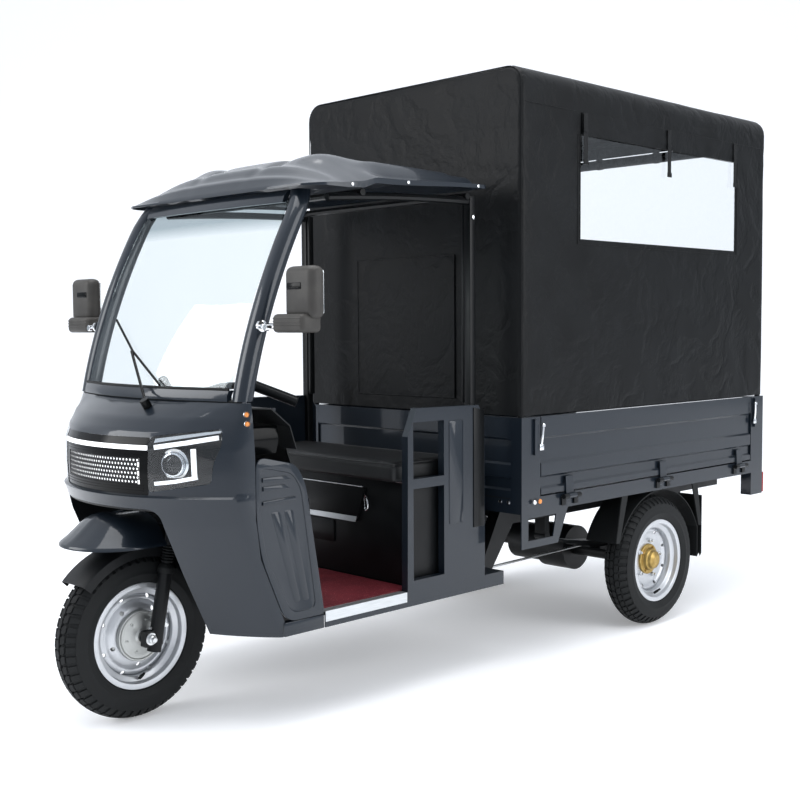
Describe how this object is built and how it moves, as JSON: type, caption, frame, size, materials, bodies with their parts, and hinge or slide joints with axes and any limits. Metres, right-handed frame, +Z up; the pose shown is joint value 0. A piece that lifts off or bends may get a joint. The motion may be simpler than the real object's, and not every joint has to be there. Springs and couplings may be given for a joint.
{
  "type": "electric cargo tricycle",
  "caption": "Three-wheeled electric cargo vehicle with a semi-open cab, a drop-side bed and a fabric canopy over it.",
  "frame": {"origin": "on the ground, at the middle of the vehicle's length and width", "axes": "+Z up; the vehicle drives towards -Y, so its front wheel is at -Y; +X is its left-hand side"},
  "size_m": [1.336, 3.2299, 2.133],
  "materials": {
    "body_paint": "glossy",
    "black_paint": "satin",
    "silver_paint": "satin",
    "bright_metal": "brushed",
    "grey_cast": "rough",
    "black_plastic": "matte",
    "lamp_plastic": "glossy",
    "clear_lens": "glossy",
    "screen_glass": "glossy",
    "red_lens": "glossy",
    "tyre_rubber": "matte",
    "mat_rubber": "matte",
    "seat_cloth": "satin",
    "canopy_cloth": "satin"
  },
  "bodies": {
    "frame": {"chassis_frame": "black_paint", "cab_floor": "body_paint", "floor_mat": "mat_rubber", "sill_trims": "bright_metal", "nose_cowl": "body_paint", "hood_panel": "body_paint", "arch_liner": "black_plastic", "leg_shields": "body_paint", "dash_panel": "black_plastic", "grille": "black_plastic", "light_bar": "lamp_plastic", "headlamp_housings": "black_plastic", "headlamp_lenses": "clear_lens", "windshield_frame": "body_paint", "windshield_glass": "screen_glass", "wiper": "black_plastic", "roof_panel": "body_paint", "cab_pillars": "black_paint", "side_guards": "body_paint", "seat_cushion": "seat_cloth", "seat_box": "black_paint", "mirrors": "black_plastic", "floor_controls": "black_paint", "bed_floor": "black_paint", "bed_frame": "body_paint", "bed_headboard": "body_paint", "bed_hinges": "body_paint", "tail_hinges": "body_paint", "canopy_frame": "black_paint", "canopy_cover": "canopy_cloth", "window_flaps": "canopy_cloth", "rear_curtain": "canopy_cloth", "rear_axle": "grey_cast", "leaf_springs": "black_paint", "mudguards": "black_plastic", "tail_lamps": "red_lens", "brake_rod": "bright_metal"},
    "steering": {"fork": "black_paint", "handlebar": "black_paint", "front_fender": "body_paint"},
    "front_wheel": {"front_tyre": "tyre_rubber", "front_rim": "silver_paint", "front_hub": "silver_paint"},
    "rear_wheel_left": {"rear_tyre_left": "tyre_rubber", "rear_rim_left": "silver_paint", "rear_hub_left": "grey_cast"},
    "rear_wheel_right": {"rear_tyre_right": "tyre_rubber", "rear_rim_right": "silver_paint", "rear_hub_right": "grey_cast"},
    "left_board": {"side_board_left": "body_paint"},
    "right_board": {"side_board_right": "body_paint"},
    "tail_board": {"tailgate": "body_paint"}
  },
  "joints": [
    {"name": "steering", "type": "hinge", "parent": "frame", "child": "steering", "pos_m": [0, -1.22161, 0.72], "axis": [0, 0.1908, 0.9816], "range_deg": [-30, 30]},
    {"name": "front_wheel_spin", "type": "hinge", "parent": "steering", "child": "front_wheel", "pos_m": [0, -1.351, 0.264], "axis": [1, 0, 0], "continuous": true},
    {"name": "rear_wheel_left_spin", "type": "hinge", "parent": "frame", "child": "rear_wheel_left", "pos_m": [0.509, 0.766, 0.264], "axis": [1, 0, 0], "continuous": true},
    {"name": "rear_wheel_right_spin", "type": "hinge", "parent": "frame", "child": "rear_wheel_right", "pos_m": [-0.509, 0.766, 0.264], "axis": [1, 0, 0], "continuous": true},
    {"name": "left_board_drop", "type": "hinge", "parent": "frame", "child": "left_board", "pos_m": [0.585, 0.732, 0.6], "axis": [0, 1, 0], "range_deg": [0, 180]},
    {"name": "right_board_drop", "type": "hinge", "parent": "frame", "child": "right_board", "pos_m": [-0.585, 0.732, 0.6], "axis": [0, -1, 0], "range_deg": [0, 180]},
    {"name": "tail_board_drop", "type": "hinge", "parent": "frame", "child": "tail_board", "pos_m": [0, 1.606, 0.6], "axis": [-1, 0, 0], "range_deg": [0, 180]}
  ]
}
